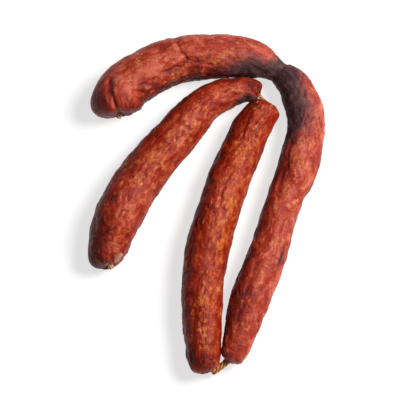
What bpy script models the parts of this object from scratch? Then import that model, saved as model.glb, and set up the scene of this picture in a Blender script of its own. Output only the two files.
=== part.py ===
"""Cured sausages: a string of four smoked links, still joined by their twisted casing.

The string lies flat in a loose zigzag. Each link is a bent tube whose width
changes along it, with a domed end at each side and an underside pressed flat
where it lies on the table. Metres, +Z up, origin on the table under the
middle of the string.
"""

import math

import bmesh
import bpy
import numpy as np

MM = 0.001

# Sizes shared by all the links.
FULL_RADIUS = 13.5 * MM  # a link at least this thick lies on the table
RISE_SHARE = 0.75  # how much of the missing thickness lifts a thin end
BELLY_DEPTH = 0.8 * MM  # how far the underside is pressed flat
STATION_STEP = 5.0 * MM  # between cross-sections along a link
DOME_STATIONS = 5  # cross-sections in each domed end
SKIN_SIDES = 6  # bevel resolution of a link's cross-section
TWIST_SIDES = 4  # bevel resolution of the twists and tips
GAP = 0.3 * MM  # between pieces that touch
WELD = 0.001 * MM  # closes a tube's loose caps
ROUTE_DETAIL = 16  # steps between two route points of the smooth route

# Each link's route lists (x, y, width) in millimetres along its middle line.
# dome and tip give the length of each rounded end and the width left there.
LINKS = {
    "link_1": {
        "route": (
            (-58.6, 62, 29),
            (-59.4, 68.5, 32.5),
            (-57.8, 75.2, 33),
            (-53, 81.4, 32.3),
            (-44.5, 87.3, 32),
            (-34, 93.2, 32),
            (-23.5, 97.5, 31.5),
            (-12.5, 100.5, 30.5),
            (10, 102, 29.5),
            (20.5, 101.5, 28),
            (29.5, 100.5, 25.5),
            (36.5, 98.5, 23),
            (41.5, 96, 17.5),
            (45.5, 93.5, 12.5),
        ),
        "dome": (8, 1),
        "tip": (9, 11),
    },
    "link_2": {
        "route": (
            (50, 90.5, 15),
            (57.5, 83, 21),
            (62, 75, 23.5),
            (65.5, 65.5, 25),
            (66.5, 57.5, 24.5),
            (64, 39.5, 26),
            (58.5, 18.5, 26.5),
            (54, 9.5, 24.5),
            (50.5, 0, 23.5),
            (47, -10, 23.5),
            (41.5, -32, 25),
            (32.5, -54, 26.5),
            (26, -72, 25),
            (21.3, -89, 20.6),
            (18.8, -98.5, 18.6),
            (14, -106.5, 15.5),
        ),
        "dome": (1, 5),
        "tip": (11.5, 7),
    },
    "link_3": {
        "route": (
            (-0.6, -114.6, 17),
            (-2.2, -105, 21.3),
            (-2.6, -96.5, 23.3),
            (-3.5, -74, 26.5),
            (-3.5, -62.5, 26.5),
            (-2, -45.5, 28),
            (0.5, -30.5, 29),
            (4.5, -14.5, 29),
            (14.5, 16, 27.5),
            (23.5, 38, 26.5),
            (28, 48.5, 26),
            (34.2, 59.5, 23.2),
            (38.2, 65, 20.4),
            (41, 69.7, 17.5),
        ),
        "dome": (6, 5),
        "tip": (7, 9),
    },
    "link_4": {
        "route": (
            (35, 75.8, 15),
            (28.5, 79.2, 16.5),
            (20.5, 78.6, 18),
            (12, 75.9, 20.4),
            (4, 72.5, 22.5),
            (-4.5, 66, 24.5),
            (-13.5, 55.5, 27.5),
            (-22, 44.5, 28.5),
            (-34.5, 30.5, 30),
            (-50.5, 8, 31),
            (-56.5, -3.5, 31.5),
            (-61.5, -14, 30.5),
            (-64.5, -25, 27.5),
            (-66, -34, 24),
            (-64.5, -41.5, 19),
        ),
        "dome": (5, 7),
        "tip": (5, 7),
    },
}

# The twists between the links.
NECK_FLATNESS = 0.65  # the wide neck's thickness as a share of its width
NECK_WIDTH = 11.0 * MM
ROPE_ROUTE = (  # (x, y, width) in millimetres, from the end of link_2 round the end of link_3
    (13.7, -107.0, 5.6),
    (12.4, -109.0, 4.6),
    (9.5, -111.6, 4.0),
    (6.5, -114.0, 3.8),
    (3.7, -116.0, 3.4),
)
ROPE_HEIGHT = 10.0 * MM
ROPE_STRIDE = 6  # of the smooth route's steps, between the rope's cross-sections
THREAD_WIDTH = 3.0 * MM
TWIST_WAIST = 0.2  # how much a twist narrows at its middle
TWIST_STATIONS = 7
STUB = 0.8 * MM  # straight start and end of each twist, square to the link's end

# The knotted ends of the casing.
NUB_LENGTH = 3.2 * MM
NUB_WIDTHS = (4.4 * MM, 3.6 * MM, 4.2 * MM, 2.0 * MM)


def clear_scene():
    for existing in list(bpy.data.objects):
        bpy.data.objects.remove(existing, do_unlink=True)


def new_collection(name, hidden):
    collection = bpy.data.collections.new(name)
    bpy.context.scene.collection.children.link(collection)
    collection.hide_render = hidden
    return collection


def plain_material(name, colour, roughness):
    material = bpy.data.materials.new(name)
    material.use_nodes = True
    shader = material.node_tree.nodes["Principled BSDF"]
    shader.inputs["Base Color"].default_value = (*colour, 1.0)
    shader.inputs["Roughness"].default_value = roughness
    shader.inputs["Metallic"].default_value = 0.0
    return material


def smooth_route(route):
    """Centripetal Catmull-Rom curve through the route's points, in metres."""
    points = np.array(route, float) * MM
    first = 2 * points[0] - points[1]
    last = 2 * points[-1] - points[-2]
    points = np.vstack([first, points, last])
    pieces = []
    for i in range(1, len(points) - 2):
        p0, p1, p2, p3 = points[i - 1 : i + 3]
        t1 = math.sqrt(math.dist(p0[:2], p1[:2]))
        t2 = t1 + math.sqrt(math.dist(p1[:2], p2[:2]))
        t3 = t2 + math.sqrt(math.dist(p2[:2], p3[:2]))
        t = np.linspace(t1, t2, ROUTE_DETAIL, endpoint=False)[:, None]
        a1 = (t1 - t) / t1 * p0 + t / t1 * p1
        a2 = (t2 - t) / (t2 - t1) * p1 + (t - t1) / (t2 - t1) * p2
        a3 = (t3 - t) / (t3 - t2) * p2 + (t - t2) / (t3 - t2) * p3
        b1 = (t2 - t) / t2 * a1 + t / t2 * a2
        b2 = (t3 - t) / (t3 - t1) * a2 + (t - t1) / (t3 - t1) * a3
        pieces.append((t2 - t) / (t2 - t1) * b1 + (t - t1) / (t2 - t1) * b2)
    return np.vstack([*pieces, points[-2:-1]])


def dome_shares(from_end, length):
    """How far into the dome each distance from the end lies: 1 at the tip, 0 where the dome starts."""
    return np.clip(1 - from_end / length, 0, 1)


def link_sections(link):
    """Centres (n, 3) and radii (n) of a link's cross-sections, both ends included.

    Along a dome the radius follows a quarter ellipse down to the tip width.
    A thin stretch sits part-way between the table and the full centre height.
    """
    curve = smooth_route(link["route"])
    steps = np.linalg.norm(np.diff(curve[:, :2], axis=0), axis=1)
    along = np.concatenate([[0], np.cumsum(steps)])
    total = along[-1]
    starts, ends = (length * MM for length in link["dome"])
    bend = np.sin(np.linspace(math.pi / 2, 0, DOME_STATIONS))
    middle = np.linspace(starts, total - ends, round((total - starts - ends) / STATION_STEP) + 1)
    at = np.concatenate([starts * (1 - bend), middle[1:-1], total - ends * (1 - bend[::-1])])
    x, y, width = (np.interp(at, along, column) for column in curve.T)
    radius = width / 2
    height = radius + RISE_SHARE * np.clip(FULL_RADIUS - radius, 0, None) - BELLY_DEPTH
    for share, tip in zip((dome_shares(at, starts), dome_shares(total - at, ends)), link["tip"]):
        left = (tip * MM / width) ** 2
        radius = radius * np.sqrt(1 - share**2 * (1 - left))
    return np.stack([x, y, height], axis=1), radius


def tube(name, centres, radii, sides, material, collection):
    """A closed round tube through the centres, as a welded mesh object."""
    curve = bpy.data.curves.new(name, "CURVE")
    curve.dimensions = "3D"
    curve.twist_mode = "Z_UP"
    curve.bevel_depth = FULL_RADIUS
    curve.bevel_resolution = sides
    curve.use_fill_caps = True
    spline = curve.splines.new("POLY")
    spline.points.add(len(centres) - 1)
    for point, centre, radius in zip(spline.points, centres, radii):
        point.co = (*centre, 1.0)
        point.radius = radius / FULL_RADIUS
    guide = bpy.data.objects.new(name + "_guide", curve)
    collection.objects.link(guide)
    graph = bpy.context.evaluated_depsgraph_get()
    mesh = bpy.data.meshes.new_from_object(guide.evaluated_get(graph))
    work = bmesh.new()
    work.from_mesh(mesh)
    bmesh.ops.remove_doubles(work, verts=work.verts, dist=WELD)
    bmesh.ops.recalc_face_normals(work, faces=work.faces)
    work.to_mesh(mesh)
    work.free()
    mesh.materials.clear()
    mesh.materials.append(material)
    mesh.shade_smooth()
    mesh.set_sharp_from_angle(angle=math.radians(50))
    piece = bpy.data.objects.new(name, mesh)
    piece.matrix_world = guide.matrix_world.copy()
    collection.objects.link(piece)
    bpy.data.objects.remove(guide, do_unlink=True)
    return piece


def table_block(collection):
    """The block below the table top, which cuts each link's underside flat."""
    depth = 20 * MM
    bpy.ops.mesh.primitive_cube_add(size=1, location=(0, 0, -depth / 2))
    block = bpy.context.object
    block.name = "table_block"
    block.scale = (0.4, 0.4, depth)
    block.hide_render = True
    block.display_type = "WIRE"
    for owner in list(block.users_collection):
        owner.objects.unlink(block)
    collection.objects.link(block)
    return block


def flatten_belly(piece, block):
    cut = piece.modifiers.new("flat_belly", "BOOLEAN")
    cut.operation = "DIFFERENCE"
    cut.solver = "EXACT"
    cut.object = block


def unit(vector):
    return vector / np.linalg.norm(vector)


def link_end(sections, last):
    """The middle of a link's end and the direction out of it."""
    centres = sections[0] if last else sections[0][::-1]
    return centres[-1], unit(centres[-1] - centres[-2])


def twist(name, start, end, width, material, collection):
    """A twist of casing from one link's end to another's: it leaves both squarely and narrows between."""
    (first, out_first), (second, out_second) = start, end
    near = first + GAP * out_first
    far = second + GAP * out_second
    inner_near = near + STUB * out_first
    inner_far = far + STUB * out_second
    t = np.linspace(0, 1, TWIST_STATIONS)[:, None]
    middle = inner_near * (1 - t) + inner_far * t
    centres = np.vstack([near, middle, far])
    along = np.linspace(0, 1, len(centres))
    radii = width / 2 * (1 - TWIST_WAIST * np.sin(math.pi * along))
    return tube(name, centres, radii, TWIST_SIDES, material, collection)


def flat_neck(name, start, end, material, collection):
    """The wide neck: a twist squashed in height about its own middle.

    It is laid out taller by as much as the squash takes off, with its ends
    leaning so that they stay parallel to the links' ends afterwards.
    """
    lift = (start[0][2] + end[0][2]) / 2
    tall = []
    for middle, out in (start, end):
        point = np.array([middle[0], middle[1], (middle[2] - lift) / NECK_FLATNESS])
        tall.append((point, unit(out * np.array([1, 1, NECK_FLATNESS]))))
    neck = twist(name, *tall, NECK_WIDTH, material, collection)
    neck.location.z = lift
    neck.scale.z = NECK_FLATNESS
    return neck


def rope(name, material, collection):
    """The twisted rope of casing that bends round the low end of link_3."""
    route = smooth_route(ROPE_ROUTE)[::ROPE_STRIDE]
    centres = np.column_stack([route[:, 0], route[:, 1], np.full(len(route), ROPE_HEIGHT)])
    return tube(name, centres, route[:, 2] / 2, TWIST_SIDES, material, collection)


def casing_nub(name, end, material, collection):
    """The knotted tip of casing left at a free end."""
    middle, out = end
    along = np.linspace(0, NUB_LENGTH, len(NUB_WIDTHS))[:, None]
    centres = middle + out * (GAP + along)
    radii = np.array(NUB_WIDTHS) / 2
    return tube(name, centres, radii, TWIST_SIDES, material, collection)


def build():
    clear_scene()
    parts = new_collection("cured_sausage", hidden=False)
    cutters = new_collection("cutters", hidden=True)
    skin = plain_material("smoked_skin", (0.26, 0.055, 0.028), 0.38)
    smoky = plain_material("smoked_neck", (0.085, 0.04, 0.033), 0.5)
    golden = plain_material("golden_casing", (0.56, 0.24, 0.06), 0.4)
    pale = plain_material("pale_casing", (0.55, 0.4, 0.26), 0.5)

    block = table_block(cutters)
    sections = {}
    for name, link in LINKS.items():
        sections[name] = link_sections(link)
        body = tube(name, *sections[name], SKIN_SIDES, skin, parts)
        flatten_belly(body, block)

    free_1 = link_end(sections["link_1"], last=False)
    end_1 = link_end(sections["link_1"], last=True)
    start_2 = link_end(sections["link_2"], last=False)
    start_4 = link_end(sections["link_4"], last=False)
    free_4 = link_end(sections["link_4"], last=True)
    # The thread meets link_3 beside the middle of its end.
    side_3 = (np.array([39.4, 71.0, 10.8]) * MM, unit(np.array([0.51, 0.86, 0])))

    flat_neck("twist_1_2", end_1, start_2, smoky, parts)
    rope("twist_2_3", golden, parts)
    twist("twist_3_4", start_4, side_3, THREAD_WIDTH, golden, parts)
    casing_nub("casing_tip_1", free_1, pale, parts)
    casing_nub("casing_tip_4", free_4, pale, parts)


build()
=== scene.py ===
"""Looks of a string of four smoked, dried sausages, left joined by their twisted casing.

Each link is a closed skin worked out on a grid: distance along the bent
middle line, and angle round it. Its relief is made in the straightened
sausage's own space, so that no seam shows. Metres, +Z up.
"""

import math

import bpy
import numpy as np
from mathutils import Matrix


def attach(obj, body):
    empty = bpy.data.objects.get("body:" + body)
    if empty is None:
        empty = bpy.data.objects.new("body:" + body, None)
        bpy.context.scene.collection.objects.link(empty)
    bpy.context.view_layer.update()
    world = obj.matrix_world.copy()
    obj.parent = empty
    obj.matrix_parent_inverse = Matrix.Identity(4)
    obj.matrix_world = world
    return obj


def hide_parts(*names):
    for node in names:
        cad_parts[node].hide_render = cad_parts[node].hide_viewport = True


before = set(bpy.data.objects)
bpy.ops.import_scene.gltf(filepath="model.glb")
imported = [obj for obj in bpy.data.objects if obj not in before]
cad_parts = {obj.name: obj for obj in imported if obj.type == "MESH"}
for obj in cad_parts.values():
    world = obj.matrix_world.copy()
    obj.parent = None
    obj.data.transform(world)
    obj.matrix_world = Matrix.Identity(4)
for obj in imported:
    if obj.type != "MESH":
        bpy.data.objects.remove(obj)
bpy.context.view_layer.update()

MM = 0.001

# The links' build, the same as in the solids.
FULL_RADIUS = 13.5 * MM  # a link at least this thick lies on the table
RISE_SHARE = 0.75  # how much of the missing thickness lifts a thin end
BELLY_DEPTH = 0.8 * MM  # how far the underside is pressed flat
ROUTE_DETAIL = 16  # steps between two route points of the smooth route
SKIN_QUADS = 92000  # on one link
TWIST_QUADS = 9000  # on one twist or tip
ROUTE_SOFTENING = 12  # averages that take the last kinks out of a route
FORM_STEPS = 6001  # of a middle line, before it is spread into rings
BELLY_SOFTNESS = 0.35 * MM  # how round the edge of the flat underside is

# The skin's relief: how wide its features are, and how high or deep, in millimetres.
DENTS = (26, 0.5)
SWELLINGS = (12, 0.42)
LUMPS = (5.2, 0.46)
GRAINS = (2.7, 0.24)
CREASES = (4.2, 0.62)
WRINKLES = (1.9, 0.2)
CRINKLES = (1.25, 0.1)
FULLNESS = 0.25  # how far the whole skin stands out
RIDGE_MEAN = 0.3  # of the ridged noise, taken off so that creases keep the skin's level
PLEATS = 11  # round a gathered end
PLEAT_REACH = 4.5  # from the pole, in millimetres
CROWDED = (0.05, 0.55)  # where rings crowd in a tight bend the relief fades between these stretches


# ---------------------------------------------------------------- noise fields


def fade(t):
    """Perlin's quintic step, 6t^5 - 15t^4 + 10t^3."""
    return t * t * t * (t * (t * 6 - 15) + 10)


def smooth_step(low, high, value):
    """0 below low, 1 above high, 3t^2 - 2t^3 between."""
    t = np.clip((value - low) / (high - low), 0, 1)
    return t * t * (3 - 2 * t)


def gradient_noise(points, cell, seed):
    """Perlin noise in 3-D, about -1 to 1.

    Each corner of the cubic lattice has a seeded random gradient; its dot product
    with the way from the corner is faded together over the cell's eight corners.
    """
    scaled = points / cell
    whole = np.floor(scaled).astype(int)
    inside = scaled - whole
    low = whole.min(axis=0) - 2
    shape = (whole.max(axis=0) - low + 4).tolist()
    gradients = np.random.default_rng(seed).random((*shape, 3)) * 2 - 1
    gradients /= np.linalg.norm(gradients, axis=-1, keepdims=True)
    weight = fade(inside)
    total = np.zeros(len(points))
    for corner in np.ndindex(2, 2, 2):
        step = np.array(corner)
        index = whole - low + step
        gradient = gradients[index[:, 0], index[:, 1], index[:, 2]]
        share = np.prod(np.where(step, weight, 1 - weight), axis=1)
        total += share * np.einsum("ij,ij->i", gradient, inside - step)
    return total * 1.6


def ridged_noise(points, cell, seed):
    """Thin ridges where a noise crosses zero: (1 - |noise|) squared."""
    return (1 - np.clip(np.abs(gradient_noise(points, cell, seed)) * 1.5, 0, 1)) ** 2


def warped(points, cell, reach, seed):
    """Points pushed about by three noises, which makes a pattern wander."""
    pushes = [gradient_noise(points, cell, seed + i) for i in range(3)]
    return points + reach * np.stack(pushes, axis=1)


# ------------------------------------------------------------ the links' build

# Each link's route lists (x, y, width) in millimetres along its middle line.
# dome gives the length of each rounded end and puckers the depth of its
# pleats, in millimetres, smoke_and_shade_side the angle of the link's darker side, partly smoke
# and partly painted shade of the side turned from the light, and pinkness how pinkish it is all over.
# A fold is a line of (millimetres along, degrees round), its width and its
# height, both in millimetres. A bulge is its millimetres along, degrees round,
# length, width in degrees and height. A spot is the field it adds to, its millimetres
# along, degrees round, length, width in degrees and strength.
LINKS = {
    "link_1": {
        "route": (
            (-58.6, 62, 29),
            (-59.4, 68.5, 32.5),
            (-57.8, 75.2, 33),
            (-53, 81.4, 32.3),
            (-44.5, 87.3, 32),
            (-34, 93.2, 32),
            (-23.5, 97.5, 31.5),
            (-12.5, 100.5, 30.5),
            (10, 102, 29.5),
            (20.5, 101.5, 28),
            (29.5, 100.5, 25.5),
            (36.5, 98.5, 23),
            (41.5, 96, 17.5),
            (45.5, 93.5, 12.5),
        ),
        "dome": (8, 1.5),
        "puckers": (0.9, 0.15),
        "seed": 11,
        "smoke_and_shade_side": 185,
        "bulges": (
            (5, 355, 10, 60, 2.0),
            (5, 200, 12, 60, 1.3),
            (1, 270, 9, 90, 2.2),
            (14, 104, 7, 34, 0.9),
            (46, 20, 14, 50, 0.6),
        ),
        "pinkness": 0.5,
        "folds": (
            (((59, -20), (61, 20), (60.5, 50)), 2.2, -0.9),
            (((60.5, 50), (61.5, 82), (64, 106)), 1.2, -0.85),
            (((57, 10), (57.5, 50), (57, 80)), 1.6, 0.3),
            (((64, 106), (70, 118), (82, 124)), 1.3, -0.5),
            (((26, 124), (36, 126), (50, 122), (60, 116)), 1.8, -0.8),
            (((27, 136), (36, 141), (52, 146), (74, 146)), 2.4, 0.75),
            (((24, 96), (38, 92), (54, 99)), 1.4, -0.45),
            (((0.5, 88), (4, 84), (9, 74), (14, 58)), 1.9, -1.7),
            (((14, 120), (22, 132), (30, 150)), 2.0, -0.6),
            (((84, 100), (98, 112), (112, 128), (122, 150)), 1.8, -0.55),
            (((30, 60), (46, 66), (58, 58)), 1.2, -0.35),
        ),
        "spots": (
            ("smoke", 114, 176, 24, 76, 1.1),
            ("smoke", 126, 120, 5, 70, 0.8),
            ("tone", 7, 30, 9, 44, -1.3),
            ("gold", 7, 30, 10, 50, -1.2),
            # Lighter and pinker spots on the top: painted highlights.
            ("tone", 40, 100, 16, 30, 0.5),
            ("tone", 14, 104, 5, 24, 0.7),
            ("pink_and_sheen", 44, 92, 18, 40, 0.8),
            ("pink_and_sheen", 14, 104, 7, 30, 0.9),
            ("pink_and_sheen", 100, 70, 26, 60, 0.9),
            ("gold", 60, 146, 26, 18, 1.0),
            ("gold", 84, 110, 14, 26, 0.9),
            ("gold", 24, 100, 10, 30, 0.5),
            # A darker band along the flank turned from the light: painted shade.
            ("tone", 50, 176, 40, 16, -0.8),
            ("tone", 64.2, 108, 0.9, 6, -3.0),
        ),
    },
    "link_2": {
        "route": (
            (50, 90.5, 15),
            (57.5, 83, 21),
            (62, 75, 23.5),
            (65.5, 65.5, 25),
            (66.5, 57.5, 24.5),
            (64, 39.5, 26),
            (58.5, 18.5, 26.5),
            (54, 9.5, 24.5),
            (50.5, 0, 23.5),
            (47, -10, 23.5),
            (41.5, -32, 25),
            (32.5, -54, 26.5),
            (26, -72, 25),
            (21.3, -89, 20.6),
            (18.8, -98.5, 18.6),
            (14, -106.5, 15.5),
        ),
        "dome": (1.5, 5),
        "puckers": (0.15, 0.6),
        "seed": 23,
        "smoke_and_shade_side": 180,
        "bulges": ((3, 20, 8, 60, 0.8),),
        "pinkness": 0.5,
        "folds": (
            (((2, 40), (8, 66), (20, 80), (30, 84)), 1.5, -0.6),
            (((10, 30), (13, 60), (17, 88)), 1.2, -0.4),
            (((17, 30), (20, 58), (24, 84)), 1.2, -0.35),
            (((38, 50), (40, 76), (43, 94)), 1.1, -0.4),
            (((43, 50), (45, 74), (47, 92)), 1.1, -0.35),
            (((49, 52), (51, 72), (52, 90)), 1.1, -0.4),
            (((58, 130), (78, 126), (96, 118)), 1.7, -0.6),
            (((104, 60), (118, 72), (128, 64)), 1.5, -0.45),
            (((146, 110), (166, 100), (186, 108)), 1.6, -0.5),
        ),
        "spots": (
            ("smoke", 24, 172, 31, 95, 1.1),
            ("smoke", 45, 184, 14, 60, 0.6),
            ("smoke", 0, 130, 12, 66, 0.9),
            ("smoke", 2, 50, 6, 70, 0.8),
            ("tone", 6, 50, 9, 60, -0.9),
            ("pink_and_sheen", 10, 60, 20, 70, 1.0),
            ("pink_and_sheen", 70, 60, 40, 50, 0.6),
            ("stain", 135, 42, 6, 4.5, 1.1),
            ("tone", 137, 44, 9, 14, -0.6),
            ("gold", 127, 54, 4, 20, 1.1),
            ("gold", 34, 70, 16, 26, 0.7),
            ("gold", 80, 74, 30, 24, 0.7),
            ("tone", 176, 110, 20, 36, -0.5),
        ),
    },
    "link_3": {
        "route": (
            (-0.6, -114.6, 17),
            (-2.2, -105, 21.3),
            (-2.6, -96.5, 23.3),
            (-3.5, -74, 26.5),
            (-3.5, -62.5, 26.5),
            (-2, -45.5, 28),
            (0.5, -30.5, 29),
            (4.5, -14.5, 29),
            (14.5, 16, 27.5),
            (23.5, 38, 26.5),
            (28, 48.5, 26),
            (34.2, 59.5, 23.2),
            (38.2, 65, 20.4),
            (41, 69.7, 17.5),
        ),
        "dome": (6, 5),
        "puckers": (0.6, 0.6),
        "seed": 37,
        "smoke_and_shade_side": 0,
        "bulges": ((191, 180, 6, 60, 0.9),),
        "pinkness": -0.5,
        "folds": (
            (((20, 60), (34, 66), (50, 60)), 1.5, -0.5),
            (((66, 44), (84, 50), (100, 40)), 1.7, -0.6),
            (((112, 92), (126, 84), (138, 90)), 1.5, -0.5),
            (((150, 70), (164, 80), (176, 76)), 1.4, -0.5),
            (((40, 118), (60, 124), (78, 118)), 1.5, -0.45),
        ),
        "spots": (
            ("gold", 150, 110, 30, 30, 0.9),
            ("gold", 90, 124, 36, 26, 1.0),
            ("gold", 40, 100, 24, 34, 0.8),
            ("tone", 186, 70, 9, 60, -0.5),
            ("tone", 10, 80, 12, 80, -0.5),
            ("pink_and_sheen", 112, 84, 12, 30, 0.8),
            ("pink_and_sheen", 66, 92, 12, 24, 0.7),
        ),
    },
    "link_4": {
        "route": (
            (35, 75.8, 15),
            (28.5, 79.2, 16.5),
            (20.5, 78.6, 18),
            (12, 75.9, 20.4),
            (4, 72.5, 22.5),
            (-4.5, 66, 24.5),
            (-13.5, 55.5, 27.5),
            (-22, 44.5, 28.5),
            (-34.5, 30.5, 30),
            (-50.5, 8, 31),
            (-56.5, -3.5, 31.5),
            (-61.5, -14, 30.5),
            (-64.5, -25, 27.5),
            (-66, -34, 24),
            (-64.5, -41.5, 19),
        ),
        "dome": (5, 7),
        "puckers": (0.6, 0.8),
        "seed": 53,
        "smoke_and_shade_side": 180,
        "bulges": (
            (170, 270, 8, 90, 2.4),
            (168, 180, 8, 60, 1.0),
        ),
        "pinkness": -0.1,
        "folds": (
            (((18, 96), (30, 84), (44, 90)), 1.5, -0.5),
            (((52, 120), (68, 110), (82, 116)), 1.7, -0.6),
            (((84, 74), (98, 84), (112, 76)), 1.5, -0.5),
            (((118, 110), (130, 118), (142, 108)), 1.6, -0.5),
            (((150, 44), (160, 60), (168, 66)), 1.5, -0.6),
            (((148, 84), (158, 84), (167, 78)), 1.4, -0.5),
        ),
        "spots": (
            ("smoke", 7, 8, 13, 48, 1.1),
            ("tone", 4, 80, 6, 60, -0.5),
            ("tone", 158, 130, 16, 44, -1.0),
            ("tone", 156, 20, 12, 26, -0.4),
            ("gold", 92, 84, 40, 24, 0.9),
            ("gold", 18, 60, 8, 26, 0.8),
            ("gold", 60, 66, 20, 22, 0.6),
            ("pink_and_sheen", 120, 70, 22, 34, 0.8),
            ("pink_and_sheen", 56, 96, 14, 30, 0.6),
            ("pale", 167, 48, 4.5, 26, 0.8),
        ),
    },
}


def smooth_route(route):
    """Centripetal Catmull-Rom curve through the route's points, in metres."""
    points = np.array(route, float) * MM
    first = 2 * points[0] - points[1]
    last = 2 * points[-1] - points[-2]
    points = np.vstack([first, points, last])
    pieces = []
    for i in range(1, len(points) - 2):
        p0, p1, p2, p3 = points[i - 1 : i + 3]
        t1 = math.sqrt(math.dist(p0[:2], p1[:2]))
        t2 = t1 + math.sqrt(math.dist(p1[:2], p2[:2]))
        t3 = t2 + math.sqrt(math.dist(p2[:2], p3[:2]))
        t = np.linspace(t1, t2, ROUTE_DETAIL, endpoint=False)[:, None]
        a1 = (t1 - t) / t1 * p0 + t / t1 * p1
        a2 = (t2 - t) / (t2 - t1) * p1 + (t - t1) / (t2 - t1) * p2
        a3 = (t3 - t) / (t3 - t2) * p2 + (t - t2) / (t3 - t2) * p3
        b1 = (t2 - t) / t2 * a1 + t / t2 * a2
        b2 = (t3 - t) / (t3 - t1) * a2 + (t - t1) / (t3 - t1) * a3
        pieces.append((t2 - t) / (t2 - t1) * b1 + (t - t1) / (t2 - t1) * b2)
    return np.vstack([*pieces, points[-2:-1]])


def softened(values, passes):
    """Repeated three-point averages along the first axis, ends kept."""
    for _ in range(passes):
        values = values.copy()
        values[1:-1] = (values[:-2] + 2 * values[1:-1] + values[2:]) / 4
    return values


def spread_along(values, at, wanted):
    """Each column of values, known at some distances, read at the wanted ones."""
    return np.stack([np.interp(wanted, at, column) for column in values.T], axis=1)


def link_form(link):
    """A link's middle line and round section: along, x, y, z, half width, half height."""
    curve = softened(smooth_route(link["route"]), ROUTE_SOFTENING)
    steps = np.linalg.norm(np.diff(curve[:, :2], axis=0), axis=1)
    along = np.concatenate([[0], np.cumsum(steps)])
    fine = np.linspace(0, along[-1], FORM_STEPS)
    x, y, width = spread_along(curve, along, fine).T
    radius = width / 2
    height = radius + RISE_SHARE * np.clip(FULL_RADIUS - radius, 0, None) - BELLY_DEPTH
    return np.stack([fine, x, y, height, radius, radius])


def twist_form(path):
    """The same for a short path of (x, y, z, width, height) in millimetres, joined by a smooth curve."""
    path = np.array(path, float) * MM
    steps = np.linalg.norm(np.diff(path[:, :3], axis=0), axis=1)
    along = np.concatenate([[0], np.cumsum(steps)])
    fine = np.linspace(0, along[-1], FORM_STEPS)
    x, y, z, width, height = softened(spread_along(path, along, fine), FORM_STEPS // 2).T
    return np.stack([fine, x, y, z, width / 2, height / 2])


class Skin:
    """A smooth closed skin on a grid of rings (rows) and angles (columns).

    A ring follows the form's half width and half height, and at each end a
    dome closes it on a pole: both times the root of 1 - share^BLUNTNESS.
    Rings are spaced evenly over the skin, so the domes are as fine as the rest.
    Angle 90 degrees is the top, 0 the left of the way along.
    """

    BLUNTNESS = 2.5

    def __init__(self, form, dome, quads):
        fine, x, y, z, beside, over = form
        for length, from_end in zip(dome, (fine, fine[-1] - fine)):
            share = np.clip(1 - from_end / (length * MM), 0, 1)
            closing = np.sqrt(np.clip(1 - share**self.BLUNTNESS, 0, 1))
            beside = beside * closing
            over = over * closing
        radius = (beside + over) / 2
        path = np.concatenate([[0], np.cumsum(np.hypot(np.diff(fine), np.diff(radius)))])
        around = 2 * math.pi * radius.max()
        spacing = math.sqrt(path[-1] * around / quads)
        self.rings = round(path[-1] / spacing)
        self.columns = round(around / spacing)
        self.spacing = path[-1] / self.rings
        wanted = np.linspace(0, path[-1], self.rings + 1)
        table = np.stack([fine, x, y, z, beside, over, radius], axis=1)
        self.along, x, y, z, beside, over, self.radius = spread_along(table, path, wanted).T
        centre = np.stack([x, y, z], axis=1)
        forward = np.gradient(centre, self.along, axis=0)
        forward /= np.linalg.norm(forward, axis=1, keepdims=True)
        left = np.stack([-forward[:, 1], forward[:, 0], np.zeros(len(x))], axis=1)
        left /= np.linalg.norm(left, axis=1, keepdims=True)
        up = np.cross(forward, left)
        self.angle = np.arange(self.columns) / self.columns * 2 * math.pi
        sideways = beside[:, None] * np.cos(self.angle)
        upwards = over[:, None] * np.sin(self.angle)
        self.points = centre[:, None] + sideways[..., None] * left[:, None]
        self.points += upwards[..., None] * up[:, None]
        self.normals = self.normals_of(self.points, forward)
        self.stretch = self.stretch_of(centre)
        straight = np.broadcast_to(self.along[:, None], sideways.shape)
        self.straight = np.stack([straight, sideways, upwards], axis=-1).reshape(-1, 3)

    def normals_of(self, points, forward):
        """Cross product of the grid's own directions; at the poles, the way out of the end."""
        along = np.gradient(points, axis=0)
        around = np.roll(points, -1, axis=1) - np.roll(points, 1, axis=1)
        normals = np.cross(around, along)
        lengths = np.linalg.norm(normals, axis=2, keepdims=True)
        normals = normals / np.where(lengths > 0, lengths, 1)
        normals[0] = -forward[0]
        normals[-1] = forward[-1]
        return normals

    def stretch_of(self, centre):
        """How far apart the rings are on the skin, as a share of their distance on the middle line."""
        on_skin = np.linalg.norm(np.gradient(self.points, axis=0), axis=2)
        on_line = np.linalg.norm(np.gradient(centre, axis=0), axis=1)[:, None]
        return (on_skin / np.maximum(on_line, 1e-9)).reshape(-1)

    def grid(self, values):
        """One value a point, laid out as rings by columns."""
        return values.reshape(self.rings + 1, self.columns)

    def near(self, along, angle, length, width):
        """1 at a spot on the skin, fading like a bell: (distance / size)^2 in the exponent.

        along and length are millimetres, angle and width are degrees.
        """
        ahead = (self.along[:, None] - along * MM) / (length * MM)
        turn = np.degrees(self.angle)[None, :] - angle
        turn = (turn + 180) % 360 - 180
        return np.exp(-(ahead**2) - (turn / width) ** 2).reshape(-1)


def resting(points):
    """Presses what would sink through the table flat, with a soft edge: (z + sqrt(z^2 + k^2)) / 2."""
    z = points[:, 2]
    points[:, 2] = (z + np.sqrt(z**2 + BELLY_SOFTNESS**2)) / 2
    return points


def on_vertices(skin, values):
    """Values of the grid in the mesh's order: the inner rings, then one of each pole."""
    grid = values.reshape(skin.rings + 1, skin.columns, -1)
    inner = grid[1:-1].reshape(-1, grid.shape[2])
    return np.vstack([inner, grid[[0, -1], 0]]).reshape(-1).astype(np.float32)


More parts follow.
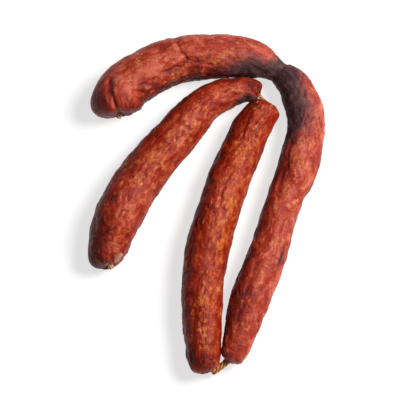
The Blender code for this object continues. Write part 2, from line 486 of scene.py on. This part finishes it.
def skin_mesh(name, skin, points, attributes):
    """Closed mesh of the grid: quads between rings, and a fan of triangles round each pole."""
    rings, columns = skin.rings, skin.columns
    ring = np.arange(rings - 2)[:, None] * columns
    column = np.arange(columns)[None, :]
    beside = (column + 1) % columns
    corners = (ring + column, ring + beside, ring + columns + beside, ring + columns + column)
    quads = np.stack(corners, axis=-1).reshape(-1, 4)
    first = (rings - 1) * columns
    column, beside = column[0], beside[0]
    start_fan = np.stack([np.full(columns, first), beside, column], axis=1)
    base = (rings - 2) * columns
    end_fan = np.stack([np.full(columns, first + 1), base + column, base + beside], axis=1)
    mesh = bpy.data.meshes.new(name)
    loops = np.concatenate([quads.reshape(-1), start_fan.reshape(-1), end_fan.reshape(-1)])
    sizes = np.concatenate([np.full(len(quads), 4), np.full(2 * columns, 3)])
    mesh.vertices.add(first + 2)
    mesh.vertices.foreach_set("co", on_vertices(skin, points))
    mesh.loops.add(len(loops))
    mesh.loops.foreach_set("vertex_index", loops)
    mesh.polygons.add(len(sizes))
    mesh.polygons.foreach_set("loop_start", np.concatenate([[0], np.cumsum(sizes)[:-1]]))
    mesh.update(calc_edges=True)
    mesh.validate()
    mesh.shade_smooth()
    for label, values in attributes.items():
        layer = mesh.attributes.new(label, "FLOAT", "POINT")
        layer.data.foreach_set("value", on_vertices(skin, values))
    layer = mesh.attributes.new("straight", "FLOAT_VECTOR", "POINT")
    layer.data.foreach_set("vector", on_vertices(skin, skin.straight))
    piece = bpy.data.objects.new(name, mesh)
    bpy.context.scene.collection.objects.link(piece)
    return piece


# ------------------------------------------------------------ relief of a link


def blurred(skin, values, passes):
    """Averages of each point with its four neighbours on the grid, repeated."""
    grid = skin.grid(values)
    for _ in range(passes):
        along = np.vstack([grid[:1], grid, grid[-1:]])
        sideways = np.roll(grid, 1, axis=1) + np.roll(grid, -1, axis=1)
        grid = (2 * grid + along[:-2] + along[2:] + sideways) / 6
    return grid.reshape(-1)


def wander_of(skin, seed):
    """Wandering coordinates on the skin: millimetres along, degrees round, and a width factor."""
    spot = skin.straight / MM
    along = spot[:, 0] + 1.2 * gradient_noise(spot, 6, seed)
    angle = np.tile(np.degrees(skin.angle), skin.rings + 1) + 6 * gradient_noise(spot, 5, seed + 1)
    return along, angle, 1 + 0.5 * gradient_noise(spot, 4, seed + 2)


def line_on(skin, wander, line, width):
    """1 on a broken line drawn on the skin, fading like a bell over width.

    The line's corners are (millimetres along, degrees round). Distances are
    taken on the skin: along it, and angle times radius round it.
    """
    along, angle, spread = wander
    radius = np.repeat(skin.radius / MM, skin.columns)
    closest = np.full(len(along), 1e9)
    for (a0, t0), (a1, t1) in zip(line[:-1], line[1:]):
        across = np.radians((angle - t0 + 180) % 360 - 180) * radius
        span = np.radians(t1 - t0) * radius
        ahead = along - a0
        reach = (a1 - a0) ** 2 + span**2
        share = np.clip((ahead * (a1 - a0) + across * span) / reach, 0, 1)
        away = np.hypot(ahead - share * (a1 - a0), across - share * span)
        closest = np.minimum(closest, away)
    return np.exp(-((closest / (width * spread)) ** 2))


def pucker(skin, at_start, pleats, reach, seed):
    """Radial pleats round a pole, 1 at their crests, and how near the pole is.

    The crests follow cos(pleats x angle + a slow wander), and fade with the
    distance from the pole like a bell of the given reach in millimetres.
    """
    rounded = np.arange(skin.rings + 1) if at_start else np.arange(skin.rings, -1, -1)
    away = rounded * skin.spacing / MM
    phase = np.random.default_rng(seed).random(3) * 2 * math.pi
    angle = skin.angle[None, :]
    swirl = 0.35 * np.sin(2 * angle + phase[0]) + 0.06 * away[:, None]
    crest = 0.5 + 0.5 * np.cos(pleats * (angle + swirl) + phase[1])
    strength = 0.65 + 0.35 * np.cos(3 * angle + phase[2])
    closeness = np.exp(-((away / reach) ** 2))[:, None] * np.ones_like(angle)
    return (crest * strength * closeness).reshape(-1), closeness.reshape(-1)


def layer(size_and_rise, points, seed):
    """Noise of one size, times its height."""
    size, rise = size_and_rise
    return rise * gradient_noise(points, size, seed)


def relief(skin, link):
    """Height of a link's skin over its smooth form, in millimetres.

    From coarse to fine: dents, lumps of meat under the casing, lengthwise
    creases and fine wrinkles, each coming and going in its own patches; then
    the link's own folds and the puckers of its two ends.
    """
    seed = link["seed"]
    spot = skin.straight / MM
    lengthwise = warped(spot * np.array([0.6, 1, 1]), 7, 2.2, seed + 2)
    height = FULLNESS + layer(DENTS, spot, seed) + layer(SWELLINGS, spot, seed + 1)
    height += layer(LUMPS, lengthwise, seed + 5)
    height += layer(GRAINS, lengthwise, seed + 6)
    size, depth = CREASES
    crease = ridged_noise(warped(spot * np.array([0.42, 1, 1]), 5, 1.8, seed + 7), size, seed + 10)
    crease_patch = smooth_step(-0.3, 0.35, gradient_noise(spot, 11, seed + 11))
    height -= depth * (crease - RIDGE_MEAN) * crease_patch
    size, rise = WRINKLES
    wrinkle = ridged_noise(warped(spot * np.array([0.7, 1, 1]), 2.6, 0.9, seed + 12), size, seed + 15)
    wrinkle_patch = smooth_step(-0.3, 0.4, gradient_noise(spot, 8, seed + 16))
    height += rise * (wrinkle - RIDGE_MEAN) * (0.3 + 0.7 * wrinkle_patch)
    size, depth = CRINKLES
    crinkle = ridged_noise(warped(spot * np.array([0.8, 1, 1]), 1.8, 0.6, seed + 30), size, seed + 33)
    height -= depth * (crinkle - RIDGE_MEAN)
    wander = wander_of(skin, seed + 20)
    for line, width, rise in link["folds"]:
        height += rise * line_on(skin, wander, line, width)
    for along, angle, length, width, rise in link["bulges"]:
        height += rise * skin.near(along, angle, length, width)
    height *= smooth_step(*CROWDED, skin.stretch)
    for at_start, depth in zip((True, False), link["puckers"]):
        crest, closeness = pucker(skin, at_start, PLEATS, PLEAT_REACH, seed + at_start)
        height = height * (1 - 0.5 * closeness) + depth * (crest - 0.6 * closeness)
    return height


# ------------------------------------------------------------------- finishes


class Number:
    """A socket that holds one number: arithmetic on it adds Math nodes."""

    def __init__(self, finish, socket):
        self.finish = finish
        self.socket = socket

    def maths(self, operation, *values):
        return self.finish.number("ShaderNodeMath", {"operation": operation}, dict(enumerate(values)))

    def __add__(self, other):
        return self.maths("ADD", self, other)

    def __sub__(self, other):
        return self.maths("SUBTRACT", self, other)

    def __rsub__(self, other):
        return self.maths("SUBTRACT", other, self)

    def __mul__(self, other):
        return self.maths("MULTIPLY", self, other)

    __radd__ = __add__
    __rmul__ = __mul__

    def step(self, low, high):
        """0 below low, 1 above high, smooth between."""
        settings = {"interpolation_type": "SMOOTHSTEP"}
        return self.finish.number("ShaderNodeMapRange", settings, {0: self, 1: low, 2: high})


class Finish:
    """A material under construction: one Principled shader and the nodes that feed it."""

    def __init__(self, name):
        self.material = bpy.data.materials.new(name)
        self.material.use_nodes = True
        self.tree = self.material.node_tree
        self.shader = self.tree.nodes["Principled BSDF"]

    def node(self, kind, settings, inputs):
        made = self.tree.nodes.new(kind)
        for setting, value in settings.items():
            setattr(made, setting, value)
        for key, value in inputs.items():
            self.feed(made.inputs[key], value)
        return made

    def feed(self, socket, value):
        if isinstance(value, Number):
            value = value.socket
        if isinstance(value, bpy.types.NodeSocket):
            self.tree.links.new(value, socket)
        elif isinstance(value, tuple) and len(value) == 3 and socket.type == "RGBA":
            socket.default_value = (*value, 1.0)
        else:
            socket.default_value = value

    def number(self, kind, settings, inputs, output=0):
        return Number(self, self.node(kind, settings, inputs).outputs[output])

    def attribute(self, name):
        return self.number("ShaderNodeAttribute", {"attribute_name": name}, {}, "Fac")

    def straight(self, scale=(1.0, 1.0, 1.0)):
        """Where a point is on the straightened sausage, each way scaled."""
        place = self.node("ShaderNodeAttribute", {"attribute_name": "straight"}, {}).outputs["Vector"]
        return self.node("ShaderNodeMapping", {}, {"Vector": place, "Scale": scale}).outputs[0]

    def noise(self, size, detail=2.0, roughness=0.5, scale=(1.0, 1.0, 1.0)):
        """Blender's noise, 0 to 1, with features about size metres wide."""
        place = self.straight(scale)
        inputs = {"Vector": place, "Scale": 1 / size, "Detail": detail, "Roughness": roughness}
        return self.number("ShaderNodeTexNoise", {}, inputs)

    def blend(self, share, first, second):
        """The second colour over the first, by share."""
        return self.node("ShaderNodeMix", {"data_type": "RGBA"}, {0: share, 6: first, 7: second}).outputs[2]

    def bump(self, height, distance, strength):
        inputs = {"Height": height, "Distance": distance, "Strength": strength}
        return self.node("ShaderNodeBump", {}, inputs).outputs["Normal"]

    def finish(self, **sockets):
        """Feeds the shader's sockets, named with _ for each space."""
        for name, value in sockets.items():
            self.feed(self.shader.inputs[name.replace("_", " ")], value)
        return self.material


# Linear colours of the smoked skin: the first of each pair where it is warm, the
# second where pinkish, partly the skin's own hue and partly painted sheen. The sooty pair is thick soot and
# worn soot.
DARK = ((0.072, 0.004, 0.0015), (0.11, 0.012, 0.01))
RED = ((0.22, 0.009, 0.0004), (0.29, 0.024, 0.009))
LIGHT = ((0.38, 0.048, 0.003), (0.52, 0.115, 0.066))
GOLD = ((0.5, 0.112, 0.004), (0.54, 0.17, 0.05))
SMOKE = ((0.044, 0.02, 0.022), (0.13, 0.056, 0.05))
BRUISE = (0.12, 0.03, 0.032)  # round the soot
CREAM = (0.52, 0.33, 0.22)
STAIN = (0.02, 0.018, 0.03)

# How wide the skin's patterns are, and how deep its grain is.
MARBLE = 5 * MM
VEINS = 3.2 * MM
GRAIN = 1.3 * MM
WEAR = 6 * MM
GRAIN_DEPTH = 0.6 * MM


def smoked_skin(name):
    """Smoked casing over meat.

    Tone goes from dark through red to light and carries painted shade on one
    side and in the hollows; where pinkish it is partly painted sheen; golden flecks
    lie on it in clusters; soot, cream and stains cover it where a hand or stick touched.
    """
    skin = Finish(name)
    marble = skin.noise(MARBLE, detail=6, roughness=0.68, scale=(0.75, 1.0, 1.0))
    veins = skin.noise(VEINS, detail=6, roughness=0.68, scale=(0.8, 1.05, 0.95))
    fine = skin.noise(GRAIN, detail=3, roughness=0.6)
    # The pinkish blend is partly the skin's own hue, partly painted sheen.
    pink_and_sheen = (skin.attribute("pink_and_sheen") + (veins - 0.5) * 3.0).step(-0.8, 0.9)
    tone = skin.attribute("tone") + (marble - 0.5) * 3.0 + (fine - 0.5) * 0.9
    colour = skin.blend(tone.step(-1.1, 0.0), skin.blend(pink_and_sheen, *DARK), skin.blend(pink_and_sheen, *RED))
    colour = skin.blend(tone.step(-0.15, 1.15), colour, skin.blend(pink_and_sheen, *LIGHT))
    gold = (veins + marble * 0.35 + skin.attribute("gold") * 0.12).step(0.72, 0.93)
    colour = skin.blend(gold * 0.75, colour, skin.blend(pink_and_sheen, *GOLD))
    bruise = skin.attribute("smoke").step(0.05, 0.45)
    colour = skin.blend(bruise * 0.55, colour, BRUISE)
    soot = (skin.attribute("smoke") + (marble - 0.5) * 0.9).step(0.3, 0.62)
    worn = skin.noise(WEAR, detail=3).step(0.45, 0.75)
    colour = skin.blend(soot * 0.93, colour, skin.blend(worn, *SMOKE))
    cream = (skin.attribute("pale") + (veins - 0.5) * 2.4).step(0.35, 0.85)
    colour = skin.blend(cream * 0.6, colour, CREAM)
    stain = (skin.attribute("stain") + (fine - 0.5) * 0.8).step(0.3, 0.65)
    colour = skin.blend(stain * 0.9, colour, STAIN)
    roughness = 0.3 + fine * 0.22 + soot * 0.14
    normal = skin.bump(fine + veins * 0.8, GRAIN_DEPTH, 0.8)
    return skin.finish(
        Base_Color=colour,
        Roughness=roughness,
        Normal=normal,
        Specular_IOR_Level=0.16,
    )


def skin_fields(skin, height, link):
    """How light, pinkish, golden, sooty, pale and stained the skin is at each point.

    The tone carries painted shade: darker towards one side and in the hollows of
    the relief, lighter on its raised parts. Pinkish spots are partly painted sheen.
    """
    seed = link["seed"]
    spot = skin.straight / MM
    proud = height - blurred(skin, height, 20)
    wander = warped(spot * np.array([0.7, 1, 1]), 7, 2.5, seed + 102)
    # side is 1 towards the link's darker side: partly smoke, partly painted shade of the side turned from
    # the light.
    side = np.tile(np.cos(skin.angle - math.radians(link["smoke_and_shade_side"])), skin.rings + 1)
    tone = 0.55 * gradient_noise(wander, 8.5, seed + 105) + 0.4 * gradient_noise(wander, 4, seed + 106)
    fields = {
        # Tone is lowered towards the darker side and in the hollows of the relief, and raised on its raised
        # parts: painted shade and painted light.
        "tone": tone + 1.1 * proud + 0.18 - 0.9 * (0.5 + 0.5 * side) ** 3,
        "pink_and_sheen": link["pinkness"] + 0.6 * gradient_noise(spot, 15, seed + 100),
        # Fewer golden flecks towards the darker side, as part of its painted shade.
        "gold": 0.7 * gradient_noise(wander, 9, seed + 108) + 0.6 * proud - 0.3 * (side > 0.5),
        "smoke": 0.1 * gradient_noise(spot, 6, seed + 120),
        "pale": np.zeros(len(spot)),
        "stain": np.zeros(len(spot)),
    }
    for field, along, angle, length, width, strength in link["spots"]:
        fields[field] = fields[field] + strength * skin.near(along, angle, length, width)
    return fields


def make_link(name, link):
    """The smooth skin pushed out along its normals by the relief."""
    skin = Skin(link_form(link), link["dome"], SKIN_QUADS)
    height = relief(skin, link)
    colours = skin_fields(skin, height, link)
    points = skin.points.reshape(-1, 3) + skin.normals.reshape(-1, 3) * (height * MM)[:, None]
    piece = skin_mesh(name + "_skin", skin, resting(points), colours)
    piece.data.materials.append(smoked_skin(name + "_smoked_skin"))
    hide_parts(name)
    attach(piece, "root")


for link_name, link in LINKS.items():
    make_link(link_name, link)


# ----------------------------------------------------------- twists and tips

# Each path lists (x, y, z, width, height) in millimetres. It starts and ends
# inside the links, or at a loose end. ridges and turns say how its creases
# run: so many round it, turning so many times over its length, depth deep in
# millimetres. dome gives the length of each rounded end.
TWISTS = {
    "twist_1_2": {
        "path": (
            (37.5, 98.2, 10.6, 20.0, 18.0),
            (42.5, 95.6, 10.8, 18.0, 16.6),
            (47.8, 91.9, 10.9, 14.6, 14.2),
            (52.6, 88.0, 10.8, 18.2, 17.4),
            (57.0, 83.4, 10.6, 19.5, 18.0),
        ),
        "dome": (2, 2),
        "ridges": 7,
        "turns": 0.05,
        "depth": 0.16,
        "finish": "smoked_neck",
        "seed": 71,
    },
    "twist_2_3": {
        "path": (
            (15.4, -103.0, 8.6, 6.0, 6.5),
            (13.6, -105.6, 8.2, 4.4, 5.2),
            (11.2, -107.9, 8.0, 3.8, 4.6),
            (8.4, -110.0, 7.8, 4.0, 4.8),
            (5.6, -111.8, 7.6, 4.8, 5.6),
            (2.8, -112.6, 7.6, 6.0, 6.6),
        ),
        "dome": (2, 2),
        "ridges": 5,
        "turns": 1.1,
        "depth": 0.55,
        "finish": "golden_casing",
        "seed": 73,
    },
    "twist_3_4": {
        "path": (
            (33.6, 77.0, 10.6, 6.0, 6.0),
            (35.4, 75.2, 10.8, 2.6, 2.6),
            (37.6, 72.9, 10.9, 1.7, 1.7),
            (39.4, 71.2, 10.8, 2.2, 2.2),
            (40.6, 69.0, 10.6, 5.0, 5.0),
        ),
        "dome": (2, 2),
        "ridges": 4,
        "turns": 1.4,
        "depth": 0.3,
        "finish": "golden_casing",
        "seed": 79,
    },
    "casing_tip_1": {
        "path": (
            (-58.6, 63.5, 14.6, 6.5, 6.5),
            (-58.7, 61.6, 14.4, 3.8, 3.6),
            (-58.9, 60.2, 14.0, 3.0, 2.8),
            (-59.2, 58.9, 13.5, 2.8, 2.4),
        ),
        "dome": (1, 0.7),
        "ridges": 6,
        "turns": 0.3,
        "depth": 0.3,
        "finish": "pale_casing",
        "seed": 83,
    },
    "casing_tip_4": {
        "path": (
            (-64.9, -38.6, 12.6, 7.0, 6.5),
            (-64.4, -41.4, 13.0, 4.2, 3.6),
            (-63.9, -43.0, 12.8, 3.4, 3.0),
            (-63.4, -44.4, 12.2, 3.0, 2.4),
        ),
        "dome": (1, 0.7),
        "ridges": 6,
        "turns": 0.3,
        "depth": 0.3,
        "finish": "pale_casing",
        "seed": 89,
    },
}

CLOUD = 2.2 * MM  # how wide the flecks of loose casing are
CLOUD_DEPTH = 0.2 * MM

# Where the neck's soot is worn off: millimetres along, degrees round, length, width in degrees.
NECK_WEAR = (17.6, 86, 2.2, 20)

# Linear colours of loose casing: in its creases, darker as painted shade, on its ridges, and its brightest
# flecks, painted highlights on the ridges.
TWIST_COLOURS = {
    "golden_casing": ((0.16, 0.03, 0.004), (0.45, 0.15, 0.025), (0.75, 0.42, 0.14)),
    "pale_casing": ((0.16, 0.06, 0.025), (0.42, 0.24, 0.11), (0.7, 0.52, 0.34)),
}


def gathered_casing(name, colours):
    """Casing drawn together: darker in its creases, as painted shade, with pale flecks on its ridges as
    painted highlights.
    """
    casing = Finish(name)
    cloud = casing.noise(CLOUD, detail=4, roughness=0.6)
    ridge = casing.attribute("ridge") + (cloud - 0.5) * 1.2
    # Dark in the creases and light on the ridges, then the brightest flecks on the ridges: painted shade
    # and painted highlights.
    colour = casing.blend(ridge.step(0.1, 0.8), colours[0], colours[1])
    colour = casing.blend((ridge + cloud * 0.6).step(0.95, 1.35) * 0.8, colour, colours[2])
    roughness = 0.38 + cloud * 0.2
    normal = casing.bump(cloud, CLOUD_DEPTH, 0.5)
    return casing.finish(Base_Color=colour, Roughness=roughness, Normal=normal, Specular_IOR_Level=0.3)


def neck_fields(skin, ridge):
    """The neck is sooty all over, a little less on its ridges, and worn at one spot; its ridges are lighter
    and pinker than its creases: painted light and painted shade.
    """
    return {
        "tone": ridge - 1.2,
        "pink_and_sheen": ridge,
        "gold": ridge - 3,
        "smoke": 1.1 - 0.3 * ridge,
        "pale": 0.5 * skin.near(*NECK_WEAR),
        "stain": np.zeros(len(ridge)),
    }


def make_twist(name, twist):
    """A tube whose radius follows the cosine of ridges x (angle + turns x 2 pi x share of the length)."""
    skin = Skin(twist_form(twist["path"]), twist["dome"], TWIST_QUADS)
    spot = skin.straight / MM
    share = (skin.along / skin.along[-1])[:, None]
    turning = skin.angle[None, :] + twist["turns"] * 2 * math.pi * share
    wander = 0.35 * gradient_noise(spot, 2.5, twist["seed"]).reshape(turning.shape)
    ridge = (0.5 + 0.5 * np.cos(twist["ridges"] * (turning + wander))).reshape(-1)
    fine = ridged_noise(spot * np.array([0.6, 1, 1]), 1.1, twist["seed"] + 1)
    height = twist["depth"] * (ridge - 0.5) + 0.2 * twist["depth"] * (fine - 0.4)
    points = skin.points.reshape(-1, 3) + skin.normals.reshape(-1, 3) * (height * MM)[:, None]
    ridge = 0.7 * ridge + 0.3 * fine
    material_name = name + "_" + twist["finish"]
    if twist["finish"] == "smoked_neck":
        fields = neck_fields(skin, ridge)
        material = smoked_skin(material_name)
    else:
        fields = {"ridge": ridge}
        material = gathered_casing(material_name, TWIST_COLOURS[twist["finish"]])
    piece = skin_mesh(name + "_casing", skin, resting(points), fields)
    piece.data.materials.append(material)
    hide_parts(name)
    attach(piece, "root")


for twist_name, twist in TWISTS.items():
    make_twist(twist_name, twist)


# ---------------------------------------------------------- floor, light, view


FLOOR_REACH = 3.0  # from the middle to each side
ROOM_LIGHT = 0.15
KEY_PLACE = (0.75, 0.25, 0.95)
KEY_SIZE = 0.7
KEY_POWER = 25
LIT_POINT = (0, 0, 0.01)
CAMERA_ELEVATION = 76  # degrees
CAMERA_DISTANCE = 3.0
VIEW_WIDTH = 266.67 * MM
VIEW_MIDDLE = (-4.7, 2.75, 13)  # in millimetres
SENSOR_WIDTH = 36  # in millimetres, as the lens


def pale_paper():
    """White paper with a little light of its own, so that shadows on it stay faint."""
    paper = Finish("pale_paper")
    return paper.finish(
        Base_Color=(0.4, 0.4, 0.4),
        Roughness=0.9,
        Specular_IOR_Level=0.0,
        Emission_Color=(1, 1, 1),
        Emission_Strength=0.68,
    )


def plain_floor():
    """One flat square, larger than the view."""
    reach = FLOOR_REACH
    corners = [(-reach, -reach, 0), (reach, -reach, 0), (reach, reach, 0), (-reach, reach, 0)]
    mesh = bpy.data.meshes.new("pale_floor")
    mesh.from_pydata(corners, [], [(0, 1, 2, 3)])
    floor = bpy.data.objects.new("pale_floor", mesh)
    bpy.context.scene.collection.objects.link(floor)
    mesh.materials.append(pale_paper())


def aim(thing, place, target):
    """Places a lamp or camera so that it looks at the target."""
    away = np.array(place) - np.array(target)
    thing.location = place
    thing.rotation_euler = (
        math.atan2(math.hypot(away[0], away[1]), away[2]),
        0,
        math.atan2(away[0], -away[1]),
    )


def soft_light(name, place, size, power):
    """A round area lamp aimed at the middle of the string."""
    lamp = bpy.data.lights.new(name, "AREA")
    lamp.shape = "DISK"
    lamp.size = size
    lamp.energy = power
    thing = bpy.data.objects.new(name, lamp)
    bpy.context.scene.collection.objects.link(thing)
    aim(thing, place, LIT_POINT)


def studio():
    """An evenly pale room and one broad key light."""
    scene = bpy.context.scene
    scene.view_settings.view_transform = "Standard"
    world = bpy.data.worlds.new("pale_room")
    world.use_nodes = True
    background = world.node_tree.nodes["Background"]
    background.inputs["Color"].default_value = (1, 1, 1, 1)
    background.inputs["Strength"].default_value = ROOM_LIGHT
    scene.world = world
    soft_light("key_light", KEY_PLACE, KEY_SIZE, KEY_POWER)


def look_down():
    """A long lens from steeply above the near side."""
    elevation = math.radians(CAMERA_ELEVATION)
    target = np.array(VIEW_MIDDLE) * MM
    camera = bpy.data.cameras.new("camera")
    camera.sensor_width = SENSOR_WIDTH
    camera.lens = SENSOR_WIDTH * CAMERA_DISTANCE / VIEW_WIDTH
    thing = bpy.data.objects.new("camera", camera)
    bpy.context.scene.collection.objects.link(thing)
    back = np.array([0, -math.cos(elevation), math.sin(elevation)])
    aim(thing, target + back * CAMERA_DISTANCE, target)
    bpy.context.scene.camera = thing


plain_floor()
studio()
look_down()
